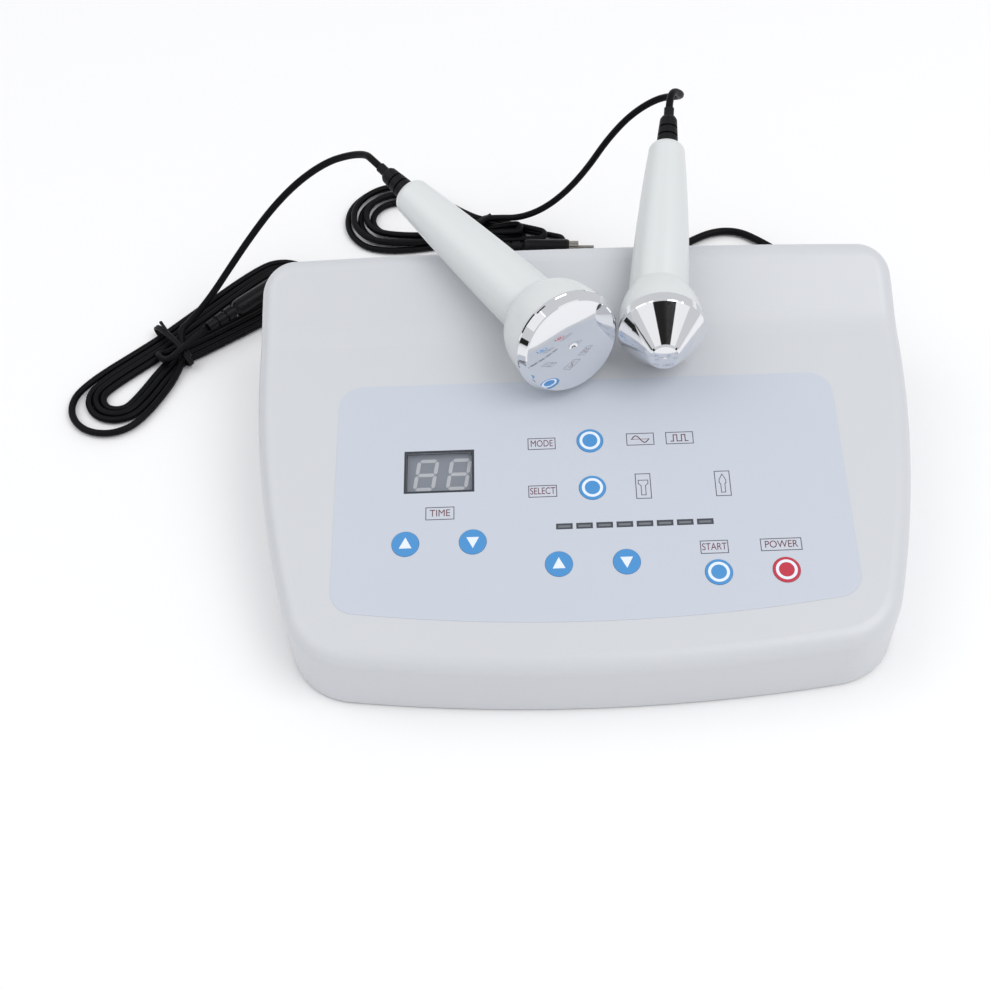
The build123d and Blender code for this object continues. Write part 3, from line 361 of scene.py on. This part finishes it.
digits = digit(DIGITS_X - DIGIT_PITCH / 2, DIGITS_Y) + digit(DIGITS_X + DIGIT_PITCH / 2, DIGITS_Y)
printed("display_digits", digit_pale, digits, lift=MODULE_FACE)
LAMPS, LAMPS_X, LAMP_PITCH = 8, 16.8, 7.62
lamps = [rectangle(LAMPS_X + (i - (LAMPS - 1) / 2) * LAMP_PITCH, 0, 4.6, 0.9) for i in range(LAMPS)]
printed("lamp_middles", lamp_pale, lamps, lift=0.0)

# ---------------------------------------------------------------- cords
PROBE_CORD = 3.1 * MM
MAINS_CORD = 3.7 * MM


def route_curve(name, points, diameter, look=jacket):
    """A smooth cord: a NURBS spline with the route's points (millimetres) as its control points."""
    curve = bpy.data.curves.new(name, "CURVE")
    curve.dimensions = "3D"
    curve.resolution_u = 8
    spline = curve.splines.new("NURBS")
    spline.points.add(len(points) - 1)
    for point, (x, y, z) in zip(spline.points, points):
        point.co = (x * MM, y * MM, z * MM, 1)
    spline.order_u = 3
    spline.use_endpoint_u = True
    curve.bevel_depth = diameter / 2
    curve.bevel_resolution = 4
    curve.use_fill_caps = True
    curve.materials.append(look)
    return link(name, curve)


def centreline(cord):
    """The points that a cord's spline runs through, in metres."""
    bare = bpy.data.objects.new("bare", cord.data.copy())
    bare.data.bevel_depth = 0
    mesh = bpy.data.meshes.new_from_object(bare)
    line = [vertex.co.copy() for vertex in mesh.vertices]
    bpy.data.meshes.remove(mesh)
    bpy.data.curves.remove(bare.data)
    return line


def length_of(line):
    """The length along a line of points."""
    return sum((b - a).length for a, b in zip(line, line[1:]))


def tube(name, line, diameter, look=jacket, sides=14):
    """A closed tube of one diameter along a line of points."""
    shape = bmesh.new()
    rings = []
    across = None
    for i, point in enumerate(line):
        along = (line[min(i + 1, len(line) - 1)] - line[max(i - 1, 0)]).normalized()
        across = along.orthogonal() if across is None else across
        across = (across - along * across.dot(along)).normalized()
        other = along.cross(across)
        ring = []
        for k in range(sides):
            turn = 2 * pi * k / sides
            ring.append(shape.verts.new(point + (across * cos(turn) + other * sin(turn)) * diameter / 2))
        rings.append(ring)
    for near, far in zip(rings, rings[1:]):
        for k in range(sides):
            m = (k + 1) % sides
            shape.faces.new((near[k], near[m], far[m], far[k])).smooth = True
    shape.faces.new(rings[0][::-1])
    shape.faces.new(rings[-1])
    bmesh.ops.recalc_face_normals(shape, faces=shape.faces)
    mesh = bpy.data.meshes.new(name)
    shape.to_mesh(mesh)
    shape.free()
    mesh.materials.append(look)
    return link(name, mesh)


def hank_turns(tie, loop, end, drift, loop_radii, tie_offsets, heights, ends):
    """Points of a cord's turns round a tied hank: round the loop, through the tie, round the end and back.

    drift draws the loops of all turns but the first towards the tie. ends holds each turn's radius at the
    far end, how far that end is drawn back towards the tie, and its height."""
    tie, loop, end = Vector(tie), Vector(loop), Vector(end)
    to_loop, to_end = (loop - tie).normalized(), (end - tie).normalized()
    left = (Vector((-to_loop.y, to_loop.x)) - Vector((-to_end.y, to_end.x))).normalized()
    spread_out = 1 / cos(pi / 8)  # a spline's control points lie outside the arc that it draws
    points = []
    for turn, z in enumerate(heights):
        middle = loop - to_loop * drift if turn else loop
        r, d = loop_radii[turn], tie_offsets[turn]
        e, back, end_z = ends[turn]
        side = Vector((-to_loop.y, to_loop.x))
        points.append((*(tie + left * d + to_loop * 4), z))
        for i in range(5):
            angle = pi * i / 4
            p = middle + (side * cos(angle) + to_loop * sin(angle)) * r * spread_out
            points.append((*p, z))
        points.append((*(tie - left * d + to_loop * 4), z))
        points.append((*(tie - left * d + to_end * 6), (z + end_z) / 2))
        side = Vector((-to_end.y, to_end.x))
        for i in range(5):
            angle = pi * i / 4
            p = end - to_end * back + (side * cos(angle) + to_end * sin(angle)) * e * spread_out
            points.append((*p, end_z))
        points.append((*(tie + left * d + to_end * 6), (z + end_z) / 2))
    return points


applicator_routes = {
    "large": [
        (-80.57, 92.91, 92.73), (-84.1, 96.7, 93.9), (-87.2, 102.3, 92.4), (-95.0, 108.3, 87.6),
        (-106.1, 112.6, 80.9), (-119.6, 112.4, 71.3), (-132.6, 109.4, 59.6), (-144.6, 105.0, 46.4),
        (-155.8, 100.2, 33.0), (-165.0, 96.0, 21.8), (-172.4, 92.0, 14.5), (-177.6, 88.0, 10.8),
        (-181.5, 84.5, 9.9),
    ],
    "small": [
        (40.86, 109.53, 105.43), (41.5, 114.6, 107.6), (43.8, 120.3, 106.5), (47.7, 124.9, 101.4),
        (47.4, 131.5, 95.6), (39.6, 138.6, 90.2), (27.9, 141.9, 79.4), (17.6, 143.4, 64.8),
        (8.9, 144.2, 48.6), (-0.9, 145.8, 33.6), (-12.4, 148.2, 20.9), (-24.3, 151.5, 13.0),
        (-34.6, 155.0, 10.5), (-42.0, 155.6, 9.9),
    ],
}
large_turns = hank_turns(
    (-184.7, 80.1), (-208.0, 47.5), (-140.5, 120.5), 4.6, [17.5, 13.4, 10.3, 7.2], [11.4, 8.0, 4.7, 1.6],
    [2.2, 1.9, 2.3, 1.9], ends=[(16.0, 0, 2.2), (12.8, 0, 1.9), (9.7, 0, 2.3), (6.8, 0, 1.9)],
)
small_turns = hank_turns(
    (-46.0, 152.8), (-85.5, 166.5), (-6.5, 146.6), 0.0, [24.9, 21.7, 18.6, 15.5, 12.4],
    [8.0, 8.0, 4.9, 4.9, 1.8], [1.9, 5.0, 1.9, 5.0, 1.9],
    ends=[(3.0, 0, 1.9), (3.0, 9, 5.0), (2.6, 19, 1.9), (2.6, 23, 5.0), (3.0, 21, 8.1)],
)
large_leadout = [
    (-188.4, 76.7, 3.2), (-191.6, 73.8, 5.4), (-185.7, 67.3, 6.8), (-178.6, 73.6, 9.4), (-168.5, 83.0, 12.1),
]
small_leadout = [(-51.5, 151.8, 8.2), (-52.0, 140.2, 8.0), (-45.5, 139.7, 5.8), (-39.3, 139.4, 5.2)]
cord_facts = {"large": (large_turns, large_leadout), "small": (small_turns, small_leadout)}
for size, route in applicator_routes.items():
    turns, leadout = cord_facts[size]
    guide = route_curve(f"{size}_guide", route + turns + leadout, PROBE_CORD)
    line = centreline(guide)
    bpy.data.objects.remove(guide)
    lead = tube(f"{size}_lead", line, PROBE_CORD)
    print(size, "lead", round(length_of(line), 4))
    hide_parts(f"{size}_cord", f"{size}_hank")
    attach(lead, "console")
    lead.parent = None
    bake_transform(lead)

mains_route = [
    (20.0, 92.1, 25.0), (20.3, 107.5, 23.5), (24.5, 120.0, 14.0), (35.5, 127.5, 6.0), (48.5, 134.0, 2.4),
    (60.0, 143.0, 2.4), (72.0, 149.2, 2.4), (84.0, 148.6, 2.4), (94.0, 140.5, 2.4), (104.0, 130.0, 2.4),
    (115.0, 121.2, 3.6), (121.3, 109.1, 5.2), (120.8, 97.1, 6.0),
]
mains_tail = [(93.0, 75.9, 7.0), (82.0, 76.1, 7.0), (72.5, 79.5, 7.6), (66.0, 82.5, 8.2)]
coil_centre = (98.0, 98.5)
COIL_STEPS = 16


def coil_turns():
    """Eight turns, clockwise from above: up the outer column, down the inner one, and out at the bottom."""
    levels = [5.6, 9.3, 13.0, 13.0, 9.3, 5.6, 1.9, 1.9]
    radii = [22.9, 22.9, 22.9, 19.1, 19.1, 19.1, 19.1, 22.9]
    points = []
    for turn in range(8):
        for step in range(COIL_STEPS):
            share = step / COIL_STEPS
            after = min(turn + 1, 7)
            blend_share = max(0.0, (share - 0.75) / 0.25)
            level = levels[turn] + (levels[after] - levels[turn]) * blend_share
            radius = (radii[turn] + (radii[after] - radii[turn]) * blend_share) / cos(pi / COIL_STEPS)
            angle = -2 * pi * share
            points.append((coil_centre[0] + radius * cos(angle), coil_centre[1] + radius * sin(angle), level))
    return points


mains_lead = route_curve("mains_lead", mains_route + coil_turns()[1:] + mains_tail[1:], MAINS_CORD)
mains_line = centreline(mains_lead)
print("mains lead", round(length_of(mains_line), 4))
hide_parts("mains_cord", "mains_coil")
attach(mains_lead, "console")

# Twist ties: a wire wound twice round the strands, its end lying on their upper side. Each tie's centre,
# the middle of the hank's loop, half the bundle's width and its height
TIE_WIRE = 1.5 * MM
TIE_STEPS = 24
tie_places = {
    "large": ((-184.7, 80.1), (-209.5, 46.0), 14.6, 8.3),
    "small": ((-46.0, 152.8), (-85.5, 166.5), 10.4, 8.3),
}
for size, (centre, loop, half_wide, height) in tie_places.items():
    along = (Vector(loop) - Vector(centre)).normalized()
    across = Vector((-along.y, along.x))
    wire = []
    for step in range(TIE_STEPS + 1):
        angle = 4 * pi * (step + 1) / TIE_STEPS
        lean = 3.4 * cos(angle) + (step / TIE_STEPS - 0.5) * 2.4
        side = (half_wide + 0.4) * cos(angle)
        up = height / 2 + 0.5 + (height / 2 + 0.3) * sin(angle)
        point = Vector(centre) + along * lean + across * side
        wire.append((point.x, point.y, max(up, 0.9)))
    for share in (0.55, 0.8):
        point = Vector(centre) - along * (6 * share) - across * (half_wide * share)
        wire.append((point.x, point.y, height + 0.9))
    band = route_curve(f"{size}_tie", wire, TIE_WIRE, rubber)
    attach(band, "console")
    if size == "large":
        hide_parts("hank_ties")

# ---------------------------------------------------------------- studio
FLOOR = 6.0  # half the floor's side


def flat_mesh(name, half_wide, half_deep):
    """A flat rectangle round the origin, facing up."""
    mesh = bpy.data.meshes.new(name)
    w, d = half_wide, half_deep
    mesh.from_pydata([(-w, -d, 0), (w, -d, 0), (w, d, 0), (-w, d, 0)], [], [(0, 1, 2, 3)])
    return mesh


floor_mesh = flat_mesh("floor", FLOOR, FLOOR)
floor = link("floor", floor_mesh)
floor_look = bpy.data.materials.new("floor_paper")
floor_look.use_nodes = True
paper = floor_look.node_tree.nodes["Principled BSDF"]
paper.inputs["Base Color"].default_value = (0.93, 0.93, 0.93, 1)
paper.inputs["Roughness"].default_value = 0.9
floor_mesh.materials.append(floor_look)

world = bpy.data.worlds.new("studio")
world.use_nodes = True
sky = world.node_tree.nodes["Background"]
sky.inputs["Color"].default_value = (0.97, 0.98, 1.0, 1)
sky.inputs["Strength"].default_value = 0.72
bpy.context.scene.world = world


def soft_light(name, place, aim, size, watts):
    """A square light of a size, at a place and facing a point."""
    lamp = bpy.data.lights.new(name, "AREA")
    lamp.size = size
    lamp.energy = watts
    light = link(name, lamp)
    light.location = place
    light.rotation_euler = (Vector(aim) - Vector(place)).to_track_quat("-Z", "Y").to_euler()


soft_light("key_light", (0.9, -0.5, 1.7), (0, 0, 0), 1.2, 14)
soft_light("fill_light", (-1.1, 0.2, 1.5), (0, 0, 0), 1.4, 6)


def reflection_card(name, aim, way, distance, width, height, strength):
    """A card that only glossy surfaces see, facing a point from a distance along a direction."""
    mesh = flat_mesh(name, width / 2, height / 2)
    look = bpy.data.materials.new(name)
    look.use_nodes = True
    shader = look.node_tree.nodes["Principled BSDF"]
    shader.inputs["Base Color"].default_value = (0, 0, 0, 1)
    shader.inputs["Specular IOR Level"].default_value = 0
    shader.inputs["Emission Color"].default_value = (1, 1, 1, 1)
    shader.inputs["Emission Strength"].default_value = strength
    mesh.materials.append(look)
    card = link(name, mesh)
    way = Vector(way).normalized()
    card.location = Vector(aim) + way * distance
    card.rotation_euler = way.to_track_quat("Z", "Y").to_euler()
    card.visible_camera = False
    card.visible_diffuse = False
    card.visible_shadow = False
    card.visible_transmission = False


heads = (0.02, 0.0, 0.075)  # between the two chrome heads
reflection_card("dark_above", heads, (0.10, -0.47, 0.88), 1.3, 1.15, 0.5, 0.02)
reflection_card("dark_left", heads, (-0.75, -0.62, 0.085), 1.6, 1.5, 0.28, 0.02)
reflection_card("dark_right", heads, (0.76, -0.64, 0.085), 1.6, 1.6, 0.2, 0.02)
reflection_card("dark_beside", heads, (-0.86, 0.36, 0.16), 1.6, 1.0, 0.8, 0.05)
reflection_card("bright_left", heads, (-0.55, -0.45, 0.75), 1.5, 0.9, 0.9, 1.0)
reflection_card("bright_right", heads, (0.65, -0.40, 0.70), 1.5, 0.9, 0.9, 1.0)

# The camera stands in front of the device and above it, rolled a little, with its frame shifted
camera_data = bpy.data.cameras.new("camera")
camera = link("camera", camera_data)
camera_place = (-0.01773, -0.36384, 0.45316)
right = Vector((0.99928, -0.03653, -0.00981))
forward = Vector((0.01559, 0.63412, -0.77307)).normalized()
up = right.cross(forward).normalized()
right = forward.cross(up)
turn = Matrix((right, up, -forward)).transposed().to_4x4()
camera.matrix_world = Matrix.Translation(camera_place) @ turn
camera_data.sensor_width = 36
camera_data.lens = 49.476
camera_data.shift_x = -0.0682
camera_data.shift_y = -0.0355
bpy.context.scene.camera = camera
bpy.context.scene.view_settings.view_transform = "Standard"
